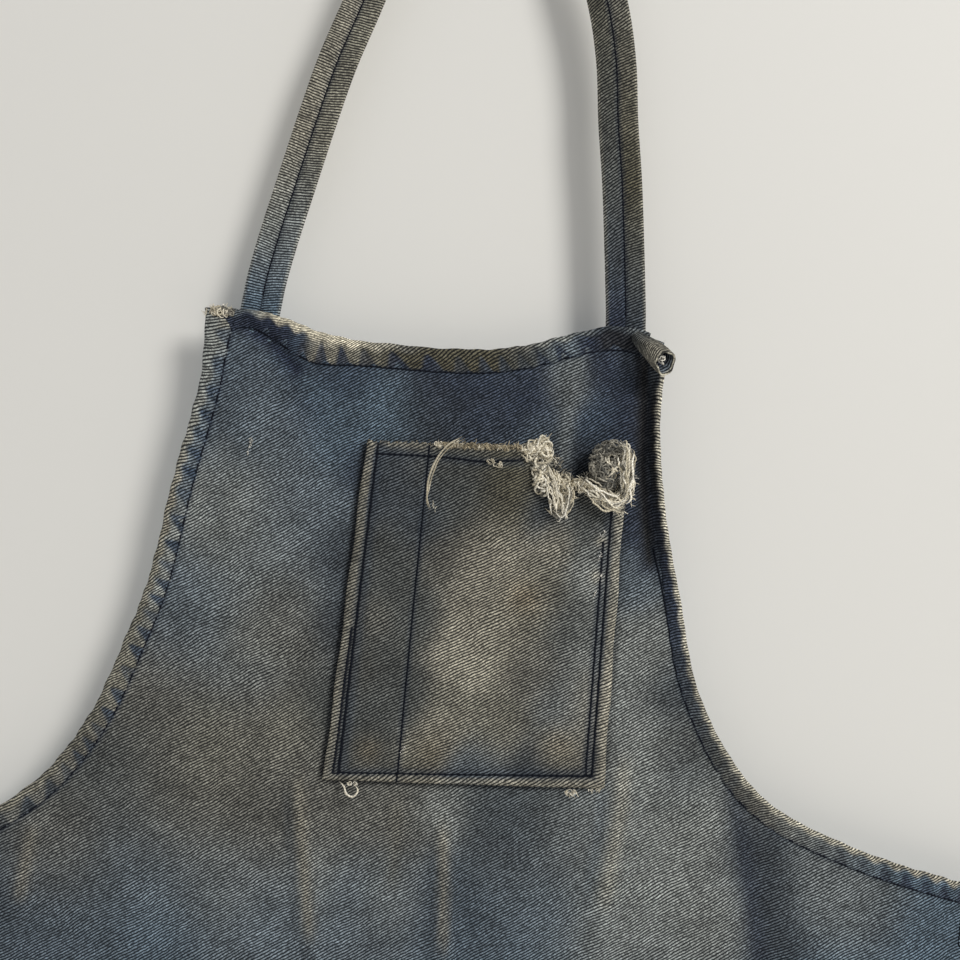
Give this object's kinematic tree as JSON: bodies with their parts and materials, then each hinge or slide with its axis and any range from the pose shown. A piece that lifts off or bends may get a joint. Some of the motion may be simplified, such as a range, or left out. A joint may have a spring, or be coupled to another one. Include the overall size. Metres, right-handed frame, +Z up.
{
  "type": "bib apron",
  "caption": "Worn denim bib apron with a neck strap, curved armholes, hemmed edges, waist ties and a chest pocket with a pen slot and torn mouth.",
  "frame": {"origin": "the point inside the top of the neck loop that rests on a hook", "axes": "+Z up, against the way the apron hangs; +X across the apron, to the right seen from its front; the front faces -Y"},
  "size_m": [0.673, 0.032, 1.3069],
  "materials": {
    "body_denim": "washed and faded indigo twill, blue near the hems and grey-olive in the middle",
    "hem_denim": "roped denim hem, worn tan along the ridges",
    "pocket_denim": "faded denim patch with an olive tint",
    "tape": "folded denim tape with worn edges",
    "thread": "dark navy sewing thread",
    "frayed_cotton": "undyed and grey cotton yarn, pulled loose"
  },
  "bodies": {
    "neck_loop": {"neck_strap": "tape", "neck_strap_stitching": "thread"},
    "bib": {"armhole_hem_left": "hem_denim", "armhole_hem_right": "hem_denim", "armhole_stitching_left": "thread", "armhole_stitching_right_lower": "thread", "armhole_stitching_right_middle": "thread", "armhole_stitching_right_upper": "thread", "bib_panel": "body_denim", "bib_top_hem": "hem_denim", "bib_top_stitching": "thread", "neck_strap_end_left": "tape", "neck_strap_end_right": "tape", "pocket_divider_stitching": "thread", "pocket_fold_bottom": "pocket_denim", "pocket_fold_left": "pocket_denim", "pocket_fold_right": "pocket_denim", "pocket_fold_top": "pocket_denim", "pocket_frayed_knot_left": "frayed_cotton", "pocket_frayed_knot_right": "frayed_cotton", "pocket_inner_stitching_left": "thread", "pocket_inner_stitching_right": "thread", "pocket_loose_thread": "frayed_cotton", "pocket_outer_stitching": "thread", "pocket_panel": "pocket_denim", "pocket_top_stitching": "thread", "waist_side_hem_left": "hem_denim", "waist_side_hem_right": "hem_denim", "waist_tie_end_left": "tape", "waist_tie_end_right": "tape", "waist_tie_tack_left": "thread", "waist_tie_tack_right": "thread"},
    "skirt": {"skirt_bottom_hem": "hem_denim", "skirt_bottom_stitching": "thread", "skirt_panel": "body_denim", "skirt_side_hem_left": "hem_denim", "skirt_side_hem_right": "hem_denim", "skirt_side_stitching_left": "thread", "skirt_side_stitching_right": "thread"},
    "tie_left": {"waist_tie_left": "tape", "waist_tie_stitching_left": "thread"},
    "tie_right": {"waist_tie_right": "tape", "waist_tie_stitching_right": "thread"}
  },
  "joints": [
    {"name": "bib_swing", "type": "hinge", "parent": "neck_loop", "child": "bib", "pos_m": [-0.01, 0, -0.338], "axis": [1, 0, 0], "range_deg": [-90, 90]},
    {"name": "waist_fold", "type": "hinge", "parent": "bib", "child": "skirt", "pos_m": [0.002, -0.0036, -0.695], "axis": [1, 0, 0], "range_deg": [-120, 120]},
    {"name": "tie_left_swing", "type": "hinge", "parent": "bib", "child": "tie_left", "pos_m": [-0.323, 0, -0.675], "axis": [1, 0, 0], "range_deg": [-120, 120]},
    {"name": "tie_right_swing", "type": "hinge", "parent": "bib", "child": "tie_right", "pos_m": [0.328, 0, -0.64], "axis": [1, 0, 0], "range_deg": [-120, 120]}
  ]
}
